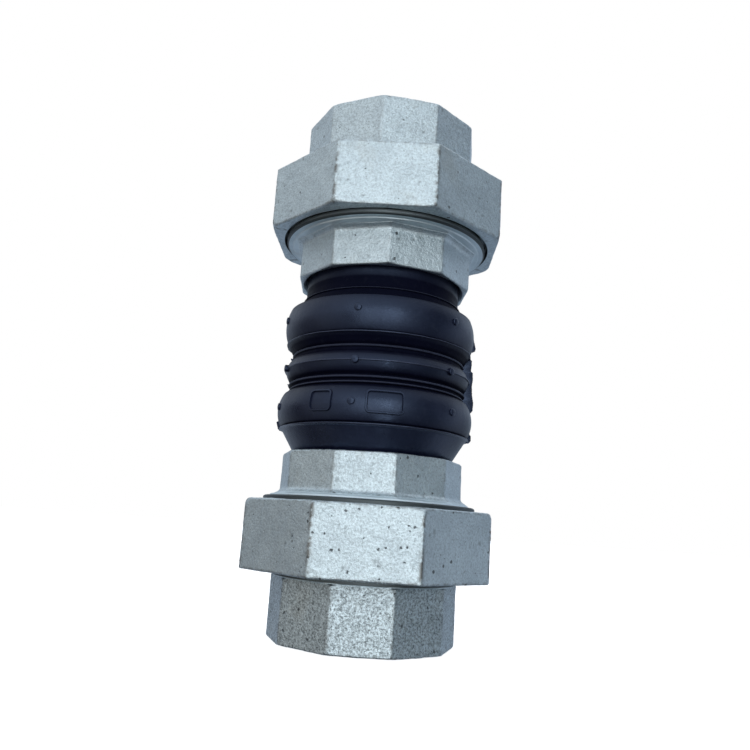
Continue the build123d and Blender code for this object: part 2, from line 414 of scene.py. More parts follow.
def union_nut(name, seed, material, skin):
    loop = Loop(8, OCTAGON_TURN, CAST_STEP)
    outline = loop.outline(NUT_FLATS, 0.35)
    soft = 0.8
    z = wall_heights(NUT_LOW, NUT_HIGH, soft, CAST_STEP)
    wall = cast_wall(outline, z, NUT_LOW, NUT_HIGH, soft, NUT_HIGH, NUT_FLATS / 2 + 2.5, 0.9)
    low, high = NUT_LOW + SHOULDER + 4, NUT_HIGH - MOUTH_DEPTH
    thread = thread_rows(loop.angles, low, high, FEMALE_ROOT_R, FEMALE_CREST_R, 0.5)
    loop.corner(HOLE_R, NUT_LOW, 0.7, 0.6)
    loop.run(wall, z, 1.0)
    loop.corner(MOUTH_R, NUT_HIGH, 0.35, 0.3)
    loop.corner(MOUTH_R, high, 0.3)
    loop.run(thread[0][::-1], thread[1][::-1])
    loop.corner(FEMALE_ROOT_R, NUT_LOW + SHOULDER, 0.3)
    loop.corner(HOLE_R, NUT_LOW + SHOULDER, 0.3)
    edge = loop.corner_nearness(1.0)

    # painted shade: dark inside the nut's mouth and thread, where its walls shade it
    def grime_and_shade(radius, height):
        return (radius < MOUTH_R + 0.1) & (height > NUT_LOW + 1.0)

    return finish_casting(name, loop, material, seed, 36, edge, grime_and_shade, skin)


def collar(name, seed, material, skin, rim_side_darkening):
    """Sleeve round the rubber neck; the last argument sets how much the side of its rim is darkened."""
    loop = Loop(10, DECAGON_TURN, CAST_STEP)
    outline = loop.outline(DECAGON_FLATS, 0.3)
    rim_low, rim_top = 53.0, 55.4
    foot = rim_top + 1.5
    soft = 0.7
    z = wall_heights(foot, COLLAR_HIGH, soft, CAST_STEP)
    wall = cast_wall(outline, z, 0.0, COLLAR_HIGH, soft, COLLAR_HIGH, DECAGON_FLATS / 2 + 1.2, 0.4)
    fillet_width, fillet_height = 2.0, 2.2
    rise = np.clip((z - foot) / fillet_height, 0, 1)[:, None]
    wall = wall + fillet_width * (1 - rise) ** 2.5
    thread = thread_rows(loop.angles, COLLAR_LOW + 0.8, rim_low - 0.6, MALE_ROOT_R, MALE_CREST_R, 0.0)
    pocket = SEAL_Z + LIP_THICK
    flare_width, flare_height = 1.8, 5.0
    bend = np.linspace(0, 1, 9)
    flare_z = COLLAR_HIGH - flare_height * (1 - bend)
    flare_r = NECK_R + 0.1 + flare_width * bend**2
    loop.corner(LIP_R + 0.2, COLLAR_LOW, 0.2)
    loop.run(*thread)
    loop.corner(MALE_ROOT_R, rim_low, 0.1)
    loop.corner(RIM_R, rim_low, 0.2)
    loop.corner(RIM_R, rim_top - 0.5, 0.2)
    loop.corner(RIM_R - 0.6, rim_top, 0.25)
    loop.corner(RIM_R - 2.5, rim_top + 0.1, 0.15)
    loop.corner(RIM_R - 2.8, rim_top + 0.7, 0.2)
    loop.corner(wall[0] + 0.5, foot - 0.3, 0.3)
    loop.run(wall, z, 1.0)
    loop.run(flare_r[::-1, None], flare_z[::-1])
    loop.corner(NECK_R + 0.1, pocket, 0.2)
    loop.corner(LIP_R + 0.2, pocket, 0.2)
    edge = loop.corner_nearness(1.2)

    def grime_and_shade(radius, height):
        # painted shadow line along the rim's top edge; the rim side darkened by the last argument;
        # grease and painted shade on the threads, dark in the gap at the nut's mouth
        corner = (radius > RIM_R - 0.7) & (height > rim_top - 1.1)
        side = rim_side_darkening * (radius > RIM_R - 0.3)
        threads = np.where(height > rim_low - 2.0, 1.0, 0.5) * (height < rim_low + 0.2)
        return np.maximum(np.maximum(corner, side), threads)

    return finish_casting(name, loop, material, seed, 16, edge, grime_and_shade, skin)


# ---- rubber ----

RUBBER_COLUMNS = 288
RUBBER_STEP = 0.45
TUBE = 2.6
PLY = 1.6
BULB_OFFSET = 17.8
LOWER_LIP = SEAL_Z
UPPER_LIP = LENGTH - SEAL_Z
BLEND_HALF = 7.0  # half the length over which a tilt is spread
LOWER_BULB = WAIST_Z - BULB_OFFSET
UPPER_BULB = WAIST_Z + BULB_OFFSET
LOWER_MOULD = LOWER_BULB - 8.0  # heights of the lines where the mould's rings met
BAND_MOULD = WAIST_Z - 1.4
UPPER_MOULD = UPPER_BULB - 7.9
LOWER_SHOULDER = LOWER_BULB + 6.3
UPPER_SHOULDER = UPPER_BULB + 6.4
GROOVE_R = BAND_R - 2.7
NUB_ANGLES = tuple(range(-73, 287, 60))  # vent nubs, in degrees from the front
NUB_HEIGHTS = (LOWER_BULB + 0.1, BAND_MOULD, UPPER_BULB + 1.1)


def bore_curve(depth):
    """Waterway wall moved out by depth, from lip edge to lip edge: points of radius and height."""
    bulb_bore_r = BULB_R - 8.4
    waist_bore_r = BAND_R - 10.8
    lower_straight, upper_straight = 16.0, 28.0
    knots = [
        (BORE_R, LOWER_LIP + LIP_THICK + lower_straight),
        (bulb_bore_r, LOWER_BULB),
        (waist_bore_r, WAIST_Z),
        (bulb_bore_r, UPPER_BULB),
        (BORE_R, UPPER_LIP - LIP_THICK - upper_straight),
    ]
    wall = [(BORE_R + depth, LOWER_LIP + depth)]
    for (r0, z0), (r1, z1) in zip(knots, knots[1:]):
        for t in np.linspace(0, 1, 40)[:-1]:
            s = t * t * (3 - 2 * t)
            wall.append((r0 + (r1 - r0) * s + depth, z0 + (z1 - z0) * t))
    wall.append((BORE_R + depth, knots[-1][1]))
    wall.append((BORE_R + depth, UPPER_LIP - depth))
    return np.array([(LIP_R, LOWER_LIP + depth)] + wall + [(LIP_R, UPPER_LIP - depth)])


def bow(start, middle, end, count=24):
    """Points of the arc through three points."""
    (x1, y1), (x2, y2), (x3, y3) = start, middle, end
    d = 2 * (x1 * (y2 - y3) + x2 * (y3 - y1) + x3 * (y1 - y2))
    q1, q2, q3 = x1 * x1 + y1 * y1, x2 * x2 + y2 * y2, x3 * x3 + y3 * y3
    cx = (q1 * (y2 - y3) + q2 * (y3 - y1) + q3 * (y1 - y2)) / d
    cy = (q1 * (x3 - x2) + q2 * (x1 - x3) + q3 * (x2 - x1)) / d
    radius = math.hypot(x1 - cx, y1 - cy)
    heights = np.linspace(y1, y3, count)
    side = 1 if x2 > cx else -1
    return [(cx + side * math.sqrt(max(radius**2 - (y - cy) ** 2, 0)), y) for y in heights]


def beside(radius, height, *steps):
    """Points given by how far out and how far up each one lies from one place."""
    return [(radius + out, height + up) for out, up in steps]


def ridge(radius, height, proud, half):
    """A thin raised line round the moulding."""
    shoulder, up = 0.8 * proud, 0.45 * half
    return beside(radius, height, (0, -half), (shoulder, -up), (proud, 0), (shoulder, up), (0, half))


def cover_curve():
    """Outside of the moulded cover from lip to lip."""
    points = [(LIP_R, LOWER_LIP + TUBE + PLY)]
    points += beside(LIP_R, LOWER_LIP + LIP_THICK, (0, -0.6), (-0.6, 0))
    points += [(NECK_R, LOWER_LIP + LIP_THICK + 0.02)]
    points += beside(NECK_R, COLLAR_HIGH, (0, -0.6), (0.4, 0.5))
    # lower bulb: cone, lip of flash over a groove, crown and shoulder
    points += beside(BULB_R, LOWER_MOULD, (-2.5, -0.8), (-1.9, -0.3), (-1.05, -0.14))
    points += beside(BULB_R, LOWER_MOULD, (-1.05, 0.1), (-2.3, 0.3), (-2.3, 0.55))
    crown = (BULB_R, LOWER_MOULD + 6.6)
    points += bow((BULB_R - 1.6, LOWER_MOULD + 0.9), crown, (BULB_R - 2.0, LOWER_SHOULDER))
    points += beside(BULB_R, LOWER_SHOULDER, (-2.3, 0.25), (-3.0, 0.85))
    points += [(GROOVE_R + 0.3, LOWER_SHOULDER + 1.25)]
    # two thin ridges
    points += ridge(GROOVE_R - 0.3, LOWER_SHOULDER + 2.1, 0.9, 0.75)
    points += ridge(GROOVE_R - 0.1, LOWER_SHOULDER + 4.1, 1.35, 0.85)
    # waist band
    points += beside(GROOVE_R, BAND_MOULD, (-0.2, -4.8), (1.1, -3.9))
    points += beside(BAND_R, BAND_MOULD, (-0.7, -2.2), (-0.25, -0.9), (-0.05, -0.3), (0.5, -0.12))
    points += beside(BAND_R, BAND_MOULD, (0.5, 0.12), (-0.05, 0.35), (-0.35, 1.2), (-1.0, 2.7))
    points += beside(GROOVE_R, BAND_MOULD, (0.6, 4.1), (-0.3, 4.7), (-0.5, 5.4))
    points += ridge(GROOVE_R - 0.5, BAND_MOULD + 6.5, 0.85, 0.7)
    # upper bulb: lip of flash, crown, a sharp shoulder and a ridge on the neck
    points += [(GROOVE_R + 0.5, UPPER_MOULD - 3.3)]
    points += beside(BULB_R, UPPER_MOULD, (-3.1, -1.7), (-2.1, -0.35), (-1.35, -0.14))
    points += beside(BULB_R, UPPER_MOULD, (-1.35, 0.12), (-2.2, 0.32))
    crown = (BULB_R - 0.35, UPPER_MOULD + 7.0)
    points += bow((BULB_R - 1.8, UPPER_MOULD + 0.7), crown, (BULB_R - 1.7, UPPER_SHOULDER))
    points += beside(BULB_R, UPPER_SHOULDER, (-1.75, 0.2), (-2.1, 0.4), (-3.9, 0.7))
    points += beside(NECK_R, UPPER_SHOULDER, (2.3, 1.3), (1.6, 3.0), (1.0, 4.3))
    points += ridge(NECK_R + 0.8, UPPER_SHOULDER + 4.9, 0.5, 0.4)
    points += beside(NECK_R, UPPER_SHOULDER, (0.4, 5.8), (0.03, 8.0))
    points += [(NECK_R, LENGTH - COLLAR_HIGH + 0.6), (NECK_R, UPPER_LIP - LIP_THICK - 0.02)]
    points += beside(LIP_R, UPPER_LIP - LIP_THICK, (-0.6, 0), (0, 0.6))
    points += [(LIP_R, UPPER_LIP - TUBE - PLY)]
    return np.array(points)


def resample(curve, step):
    """The curve with no gap longer than step, its own points kept."""
    rows = [curve[0]]
    for a, b in zip(curve, curve[1:]):
        parts = max(1, int(math.ceil(np.linalg.norm(b - a) / step)))
        rows += [a + (b - a) * k / parts for k in range(1, parts + 1)]
    return np.array(rows)


def stretch_of(curve, low, high):
    """The part of a rising curve between two heights, cut exactly at both."""
    rows = list(curve[(curve[:, 1] > low + 1e-6) & (curve[:, 1] < high - 1e-6)])
    for z, place in ((low, 0), (high, len(rows) + 1)):
        k = int(np.searchsorted(curve[:, 1], z))
        if 0 < k < len(curve):
            a, b = curve[k - 1], curve[k]
            t = (z - a[1]) / max(b[1] - a[1], 1e-9)
            rows.insert(place, a + (b - a) * t)
    return np.array(rows)


def section_solid(inner, outer, columns, wobble=None):
    """Closed ring between two rising curves."""
    rows = np.vstack([outer, inner[::-1]])
    rows = np.broadcast_to(rows[:, None], (len(rows), columns, 2)).copy()
    angles = np.arange(columns) * TURN / columns
    if wobble is not None:
        rows[: len(outer), :, 0] += wobble(outer[:, 1][:, None], angles[None])
    points = ring_points(angles, rows)
    return points.reshape(-1, 3), grid_quads(*points.shape[:2])


SWAY_REACH = 6.6  # how far past a sideways hinge its bend runs, towards the waist
STILL_HALF = 1.6  # half of the part of the waist that doesn't bend
# heights where one stretch of rubber ends and the next starts
LOWER_CUT = LOWER_TILT_Z + BLEND_HALF
LOWER_SWAY_CUT = LOWER_SWAY_Z + SWAY_REACH
UPPER_SWAY_CUT = UPPER_SWAY_Z - SWAY_REACH
UPPER_CUT = UPPER_TILT_Z - BLEND_HALF

# rubber between two bodies: heights of its two ends and of its bend, and the CAD zones it stands for
Span = namedtuple("Span", "name bodies ends bend zones")

SPANS = [
    Span("lower_neck", ("lower_neck_end", "lower_neck"), (LOWER_LIP - 1, LOWER_CUT),
         (LOWER_TILT_Z - BLEND_HALF, LOWER_CUT), ("lower_end", "lower_neck")),
    Span("lower_bulb", ("lower_neck", "lower_bulb"), (LOWER_CUT, LOWER_SWAY_CUT),
         (LOWER_CUT, LOWER_SWAY_CUT), ("lower_bulb",)),
    Span("lower_waist", ("lower_bulb", "waist"), (LOWER_SWAY_CUT, WAIST_Z),
         (LOWER_SWAY_CUT, WAIST_Z - STILL_HALF), ("waist",)),
    Span("upper_waist", ("waist", "upper_bulb"), (WAIST_Z, UPPER_SWAY_CUT),
         (WAIST_Z + STILL_HALF, UPPER_SWAY_CUT), ("waist",)),
    Span("upper_bulb", ("upper_bulb", "upper_neck"), (UPPER_SWAY_CUT, UPPER_CUT),
         (UPPER_SWAY_CUT, UPPER_CUT), ("upper_bulb",)),
    Span("upper_neck", ("upper_neck", "upper_neck_end"), (UPPER_CUT, UPPER_LIP + 1),
         (UPPER_CUT, UPPER_TILT_Z + BLEND_HALF), ("upper_neck", "upper_end")),
]


def radius_at(curve, height):
    return float(np.interp(height, curve[:, 1], curve[:, 0]))


def front(degrees):
    """Angle about the axis, counted from the front and growing to the right."""
    return math.radians(degrees - 90)


def wrap_on(angle, height, local):
    """Points given as (outwards, across, up), set round the axis at an angle."""
    c, s = math.cos(angle), math.sin(angle)
    x = local[:, 0] * c - local[:, 1] * s
    y = local[:, 0] * s + local[:, 1] * c
    return np.stack([x, y, height + local[:, 2]], -1)


def nub(curve, angle, height, radius=1.5, proud=0.8):
    """A vent nub left by the mould: a low stub with a domed end."""
    around = np.arange(20) * TURN / 20
    rings = [(0.2, -1.5), (radius, -1.5), (radius, 0.55 * proud)]
    for share in (0.93, 0.8, 0.6, 0.35, 0.1):
        rings.append((radius * share, proud * (0.55 + 0.45 * math.sqrt(1 - share**2))))
    base = radius_at(curve, height)
    local = [(base + out, w * math.cos(a), w * math.sin(a)) for w, out in rings for a in around]
    return wrap_on(angle, height, np.array(local)), grid_quads(len(rings), len(around))


def fin(curve, angle, outline, low, high, seed, half_width=0.5):
    """A torn web of flash up the cover. outline gives its edge as radii and heights."""
    heights = np.linspace(low, high, max(8, int((high - low) / 0.3)))
    rng = np.random.default_rng(seed)
    radii, places = np.array(outline).T
    edge = np.interp(heights, places, radii) + rng.uniform(-0.07, 0.07, len(heights))
    lean = 0.25 * np.sin(heights * 0.9 + seed)
    tip = 0.3 * half_width
    rows = []
    for z, out, off in zip(heights, edge, lean):
        root = radius_at(curve, z) - 0.8
        out = max(out, root + 0.85)
        profile = [(root, -half_width), (out - 0.3, -0.7 * half_width + off), (out, off - tip)]
        profile += [(out, off + tip), (out - 0.3, 0.7 * half_width + off), (root, half_width)]
        rows.append([(r, across, z) for r, across in profile])
    points = wrap_on(angle, 0.0, np.array(rows).reshape(-1, 3))
    cap = np.array([[0, 1, 4, 5], [1, 2, 3, 4]])
    ends = np.concatenate([cap[:, ::-1], cap + 6 * (len(rows) - 1)])
    return points, capped(grid_quads(len(rows), 6, closed_rows=False), ends)


def capped(quads, ends):
    """Walls joined to their end caps, the caps turned to agree with the walls."""
    edges = {(int(q[k]), int(q[(k + 1) % 4])) for q in quads for k in range(4)}
    agree = sum((int(ends[0][k]), int(ends[0][(k + 1) % 4])) in edges for k in range(4))
    return np.concatenate([quads, ends[:, ::-1] if agree else ends])


def raised_outline(curve, angle, height, half_wide, half_high, soft=1.6, half_line=0.5, proud=0.7):
    """A blank plate mark: a raised line round a rounded rectangle on the cover."""
    turns = np.radians(np.arange(0, 90, 15))
    path = []
    for k, (sx, sz) in enumerate(((1, 1), (-1, 1), (-1, -1), (1, -1))):
        for t in turns + k * math.pi / 2:
            across, up = sx * (half_wide - soft), sz * (half_high - soft)
            path.append((across + soft * math.cos(t), up + soft * math.sin(t)))
    path = np.array(path)
    dense = []
    for a, b in zip(path, np.roll(path, -1, 0)):
        parts = max(1, int(np.linalg.norm(b - a) / 0.8))
        dense += [a + (b - a) * k / parts for k in range(parts)]
    dense = np.array(dense)
    along = np.roll(dense, -1, 0) - np.roll(dense, 1, 0)
    along /= np.linalg.norm(along, axis=1, keepdims=True)
    across = np.stack([along[:, 1], -along[:, 0]], -1)
    rows = []
    for offset, out in ((-1, -0.5), (-1, 0.0), (-0.55, proud), (0.55, proud), (1, 0.0), (1, -0.5)):
        spot = dense + across * half_line * offset
        turn = angle + spot[:, 0] / BULB_R
        z = height + spot[:, 1]
        r = np.interp(z, curve[:, 1], curve[:, 0]) + out
        rows.append(np.stack([r * np.cos(turn), r * np.sin(turn), z], -1))
    points = np.array(rows)
    return points.reshape(-1, 3), grid_quads(*points.shape[:2])


RIGHT_SEAM, LEFT_SEAM = 88, -92  # degrees from the front
# torn flash on the mould's seams: radii and heights along its edge
FLASH = [
    (RIGHT_SEAM, beside(BULB_R, LOWER_MOULD, (-0.8, -0.6), (0.2, 0.2), (0.2, 2.6), (-0.4, 3.4))),
    (RIGHT_SEAM, beside(BULB_R, LOWER_SHOULDER, (-0.7, -2.4), (0.5, -0.9), (0.7, 2.5), (0.1, 5.0))
     + beside(BULB_R, BAND_MOULD, (-0.2, 0), (0.1, 2.5), (0, 5.6), (-0.8, 6.2))
     + beside(BULB_R, UPPER_MOULD, (-0.6, -0.5), (-1.3, 0.4))),
    (RIGHT_SEAM, beside(BULB_R, UPPER_MOULD, (-0.5, 3.2), (0.6, 3.8), (0.8, 5.2), (-0.4, 9.8))),
    (LEFT_SEAM, beside(BULB_R, LOWER_MOULD, (-0.9, -0.3), (-0.1, 0.6), (0.8, 3.4), (0.2, 3.8))),
    (LEFT_SEAM, beside(BAND_R, BAND_MOULD, (-1.5, -5.8), (-0.6, -4.4))),
    (LEFT_SEAM, beside(BAND_R, BAND_MOULD, (1.0, 0.4), (0.9, 2.4), (-0.3, 3.3))),
    (LEFT_SEAM, beside(BAND_R, BAND_MOULD, (-1.9, 5.4), (-1.1, 7.0))),
]
# blank plates in place of the size mark: degrees from the front, half width, half height
PLATES = [(-31, 4.6, 3.9), (5, 7.0, 4.2)]


def cover_details(curve, low, high):
    """Nubs, flash and blank plates that lie between two heights."""
    shapes = []
    for height in NUB_HEIGHTS:
        if low < height < high:
            shapes += [nub(curve, front(a), height) for a in NUB_ANGLES]
    for seed, (angle, outline) in enumerate(FLASH):
        start, end = max(outline[0][1], low), min(outline[-1][1], high)
        if end - start > 1.0:
            shapes.append(fin(curve, front(angle), outline, start, end, seed))
    if low < LOWER_BULB < high:
        for angle, half_wide, half_high in PLATES:
            shapes.append(raised_outline(curve, front(angle), LOWER_BULB + 0.4, half_wide, half_high))
    return shapes


def crest_height(curve, window=0.8, full=0.35):
    """1 on top of a ridge, where the curve is lower on both sides, and 0 away from one."""
    z, r = curve[:, 1], curve[:, 0]
    flank = np.maximum(np.interp(z - window, z, r), np.interp(z + window, z, r))
    return np.clip((r - flank) / full, 0, 1)


def recess_depth(curve, window=9.0, full=3.0):
    """How far each point of a curve lies below the highest radius near it, from 0 to 1."""
    z, r = curve[:, 1], curve[:, 0]
    crest = np.array([r[np.abs(z - height) < window].max() for height in z])
    return np.clip((crest - r) / full, 0, 1) * (z > LOWER_MOULD)


def seat_span(piece, span, layer):
    """Fixes a stretch of a rubber layer in place and hides the CAD zones it stands for."""
    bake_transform(piece)
    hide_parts(*[f"{layer}_{zone}" for zone in span.zones])


def build_cover(material):
    curve = resample(cover_curve(), RUBBER_STEP)
    inner = resample(bore_curve(TUBE + PLY), 1.0)

    def uneven(z, a):
        grid = np.broadcast_arrays(30 * np.cos(a), 30 * np.sin(a), z)
        points = np.stack(grid, -1).reshape(-1, 3)
        waves = 0.08 * value_noise(points, 11.0, 71).reshape(grid[0].shape)
        torn = 0.28 * value_noise(points, 2.6, 73).reshape(grid[0].shape)
        moulds = (LOWER_MOULD, BAND_MOULD, UPPER_MOULD)
        lip = sum(np.exp(-(((z - mould) / 0.22) ** 2)) for mould in moulds)
        return waves + lip * torn

    marks = {"recess": recess_depth(curve), "crest": crest_height(curve)}
    for span in SPANS:
        outside = stretch_of(curve, *span.ends)
        wall = section_solid(stretch_of(inner, *span.ends), outside, RUBBER_COLUMNS, uneven)
        extra = {}
        for label, mark in marks.items():
            extra[label] = np.repeat(np.interp(outside[:, 1], curve[:, 1], mark), RUBBER_COLUMNS)
        shapes = [wall] + cover_details(curve, *span.ends)
        piece = make_piece(f"cover_{span.name}_flex", shapes, material, extra)
        seat_span(piece, span, "cover")


def build_lining(layer, depth, thickness, material, wobble=None):
    inner = resample(bore_curve(depth), 0.8)
    outer = resample(bore_curve(depth + thickness), 0.8)
    for span in SPANS:
        inside, outside = stretch_of(inner, *span.ends), stretch_of(outer, *span.ends)
        shape = section_solid(inside, outside, RUBBER_COLUMNS, wobble)
        piece = make_piece(f"{layer}_{span.name}_flex", [shape], material)
        seat_span(piece, span, layer)


def cords(z, a):
    """Ribs of the bias-laid cord."""
    return 0.10 * np.cos(70 * a + z * 1.9) - 0.12


def wire_ring(node, body, material):
    """A ring wound from several strands."""
    low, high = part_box(node)
    height = (low[2] + high[2]) / 2 / MM
    wire = (high[2] - low[2]) / 2 / MM
    radius = high[0] / MM - wire
    around = np.arange(240) * TURN / 240
    across = np.arange(36) * TURN / 36
    a, b = np.meshgrid(around, across)
    size = wire * (0.94 + 0.06 * np.abs(np.cos(3.5 * b - 18 * a)))
    r = radius + size * np.cos(b)
    points = np.stack([r * np.cos(a), r * np.sin(a), height + size * np.sin(b)], -1)
    piece = make_piece(f"{node}_wire", [(points.reshape(-1, 3), grid_quads(36, 240))], material)
    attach(piece, body)
    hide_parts(node)


# ---- materials ----

WHITE = (1.0, 1.0, 1.0)


class Nodes:
    """Short way to write a material's nodes."""

    @classmethod
    def on(cls, tree):
        """Works on a tree that isn't a material's."""
        bare = cls.__new__(cls)
        bare.tree = tree
        tree.nodes.clear()
        return bare

    def __init__(self, name):
        self.material = bpy.data.materials.new(name)
        self.material.use_nodes = True
        self.tree = self.material.node_tree
        self.tree.nodes.clear()
        self.shader = self.add("ShaderNodeBsdfPrincipled")
        out = self.add("ShaderNodeOutputMaterial")
        self.tree.links.new(self.shader.outputs[0], out.inputs[0])
        self.place = self.add("ShaderNodeTexCoord").outputs["Object"]

    def add(self, kind, **settings):
        node = self.tree.nodes.new(kind)
        for key, value in settings.items():
            setattr(node, key, value)
        return node

    def feed(self, socket, value):
        if isinstance(value, bpy.types.NodeSocket):
            self.tree.links.new(value, socket)
        elif value is not None:
            socket.default_value = (*value, 1) if socket.type == "RGBA" else value

    def noise(self, scale, detail=4.0, rough=0.55, stretch=None):
        node = self.add("ShaderNodeTexNoise")
        place = self.place
        if stretch:
            mapping = self.add("ShaderNodeMapping")
            mapping.inputs["Scale"].default_value = stretch
            self.feed(mapping.inputs["Vector"], place)
            place = mapping.outputs[0]
        self.feed(node.inputs["Vector"], place)
        node.inputs["Scale"].default_value = scale
        node.inputs["Detail"].default_value = detail
        node.inputs["Roughness"].default_value = rough
        return node.outputs["Fac"]

    def blowholes(self, scale, share):
        """1 inside scattered small ragged holes; share is the part of the cells that holds one."""
        cells = self.add("ShaderNodeTexVoronoi")
        self.feed(cells.inputs["Vector"], self.place)
        cells.inputs["Scale"].default_value = scale
        pick = self.add("ShaderNodeSeparateColor")
        self.feed(pick.inputs[0], cells.outputs["Color"])
        ragged = self.spread(self.noise(6 * scale, 2, 0.6), 0.3, 0.7, -0.07, 0.07)
        size = self.spread(pick.outputs[1], 0.0, 1.0, 0.02, 0.17)
        gap = self.maths("SUBTRACT", self.maths("ADD", cells.outputs["Distance"], ragged), size)
        hole = self.spread(gap, 0.0, 0.05, 1.0, 0.0)
        chosen = self.maths("LESS_THAN", pick.outputs[0], share)
        return self.times(hole, chosen)

    def attribute(self, name):
        return self.add("ShaderNodeAttribute", attribute_name=name).outputs["Fac"]

    def spread(self, value, low, high, to_low=0.0, to_high=1.0):
        node = self.add("ShaderNodeMapRange")
        self.feed(node.inputs["Value"], value)
        labels = ("From Min", "From Max", "To Min", "To Max")
        for label, number in zip(labels, (low, high, to_low, to_high)):
            self.feed(node.inputs[label], number)
        return node.outputs[0]

    def smooth(self, value, low, high):
        node = self.add("ShaderNodeMapRange", interpolation_type="SMOOTHSTEP")
        self.feed(node.inputs["Value"], value)
        self.feed(node.inputs["From Min"], low)
        self.feed(node.inputs["From Max"], high)
        return node.outputs[0]

    def maths(self, how, a, b):
        node = self.add("ShaderNodeMath", operation=how)
        self.feed(node.inputs[0], a)
        self.feed(node.inputs[1], b)
        return node.outputs[0]

    def times(self, a, b):
        return self.maths("MULTIPLY", a, b)

    def ramp(self, value, stops):
        """Colours at angles from -180 to 180 degrees, which value runs through from 0 to 1."""
        node = self.add("ShaderNodeValToRGB")
        self.feed(node.inputs[0], value)
        marks = node.color_ramp.elements
        while len(marks) < len(stops):
            marks.new(0.5)
        for mark, (angle, colour) in zip(marks, stops):
            mark.position = 0.5 + angle / 360
            mark.color = (*colour, 1)
        return node.outputs[0]

    def mix(self, factor, a, b):
        node = self.add("ShaderNodeMix", data_type="RGBA")
        self.feed(node.inputs["Factor"], factor)
        self.feed(node.inputs["A"], a)
        self.feed(node.inputs["B"], b)
        return node.outputs["Result"]

    def bump(self, height, distance, strength=1.0, below=None):
        node = self.add("ShaderNodeBump")
        self.feed(node.inputs["Height"], height)
        self.feed(node.inputs["Normal"], below)
        node.inputs["Distance"].default_value = distance
        node.inputs["Strength"].default_value = strength
        return node.outputs[0]

    def set(self, **values):
        for label, value in values.items():
            self.feed(self.shader.inputs[label.replace("_", " ")], value)
        return self.material


def zinc_casting():
    """Hot-dip zinc over sand-cast iron: grainy and pitted outside, smooth where it was turned."""
    n = Nodes("zinc_casting")
    cast = n.attribute("cast")
    coarse = n.attribute("coarse")
    turned = n.maths("SUBTRACT", 1.0, cast)
    grain = n.noise(1150, 3, 0.62)
    fine = n.noise(2400, 2, 0.6)
    sand = n.maths("ADD", n.times(grain, 0.7), n.times(fine, 0.3))

    def by_skin(on_fine, on_coarse):
        return n.spread(coarse, 0.0, 1.0, on_fine, on_coarse)

    cloud = n.spread(n.noise(110, 4, 0.6), 0.35, 0.68)
    pale = n.mix(cloud, (0.60, 0.69, 0.74), (0.70, 0.80, 0.85))
    hollows = n.times(n.spread(sand, 0.38, 0.58, 1.0, 0.0), cast)
    pale = n.mix(n.times(hollows, by_skin(0.22, 0.74)), pale, (0.14, 0.16, 0.17))
    stained = n.mix(n.spread(n.noise(60, 4, 0.5), 0.58, 0.78, 0.0, 0.35), pale, (0.50, 0.51, 0.47))
    # dark specks between the grains, more of them where the skin is coarse
    speck_level = by_skin(0.35, 0.43)
    specks = n.spread(n.maths("SUBTRACT", speck_level, n.noise(1500, 2, 0.45)), 0.0, 0.07)
    specks = n.times(n.times(specks, by_skin(0.25, 0.6)), cast)
    speckled = n.mix(specks, stained, (0.08, 0.09, 0.10))
    pits = n.times(n.blowholes(300, n.attribute("holed")), cast)
    dark = n.maths("MAXIMUM", n.times(n.attribute("pit"), 0.6), pits)
    coloured = n.mix(n.times(dark, 0.8), speckled, (0.05, 0.052, 0.055))
    rubbed = n.times(n.attribute("edge"), n.spread(n.noise(330, 4, 0.6), 0.44, 0.58, 0.0, 0.85))
    coloured = n.mix(rubbed, coloured, (0.13, 0.115, 0.10))
    # darkened per point: mostly painted shade in gaps, inside nuts and under overhangs, partly grease
    # on threads
    coloured = n.mix(n.times(n.attribute("grime_and_shade"), 0.9), coloured, (0.020, 0.024, 0.024))

    lathe = n.noise(40, 3, 0.5, stretch=(1, 1, 60))
    rough = n.times(n.spread(sand, 0.35, 0.65, 0.50, 0.36), cast)
    rough = n.maths("ADD", rough, n.times(n.spread(lathe, 0.3, 0.7, 0.42, 0.52), turned))
    skin = n.bump(n.times(sand, cast), 0.00038, 0.85)
    skin = n.bump(n.times(pits, -1.0), 0.00025, 0.7, skin)
    skin = n.bump(n.times(lathe, turned), 0.00002, 0.4, skin)
    return n.set(Base_Color=coloured, Metallic=0.88, Roughness=rough, Normal=skin)


def cover_rubber():
    """Black moulded rubber: a faint sheen on the crowns, a painted highlight on ridge tops, and painted
    shade, darker and less shiny, in the grooves and recesses.
    """
    n = Nodes("cover_rubber")
    recess, crest = n.attribute("recess"), n.attribute("crest")
    haze = n.noise(55, 4, 0.55)
    fine = n.noise(1500, 4, 0.6)
    dust = n.spread(n.noise(420, 6, 0.7), 0.56, 0.76, 0.0, 0.32)
    base = n.mix(n.spread(haze, 0.35, 0.7), (0.0036, 0.0042, 0.0150), (0.0075, 0.0083, 0.0240))
    base = n.mix(dust, base, (0.040, 0.043, 0.065))
    # painted shade: darker in recesses, where the collars and bulbs hide the light
    base = n.mix(n.times(recess, 0.5), base, (0.0014, 0.0018, 0.0055))
    # painted highlight: lighter along the tops of thin ridges
    base = n.mix(n.times(crest, 0.6), base, (0.060, 0.066, 0.105))
    rough = n.maths("ADD", n.spread(haze, 0.3, 0.7, 0.25, 0.42), n.spread(fine, 0.3, 0.7, -0.05, 0.06))
    rough = n.maths("ADD", rough, n.times(recess, 0.18))
    # specular level lowered in recesses for painted shade and raised on ridge tops
    shine = n.maths("MAXIMUM", n.spread(recess, 0.0, 0.9, 0.95, 0.04), n.times(crest, 0.8))
    skin = n.bump(n.noise(240, 5, 0.6), 0.00020, 0.6)
    skin = n.bump(fine, 0.00004, 0.5, skin)
    n.set(Specular_IOR_Level=shine, Specular_Tint=(0.42, 0.56, 0.86))
    return n.set(Base_Color=base, Roughness=rough, Normal=skin)


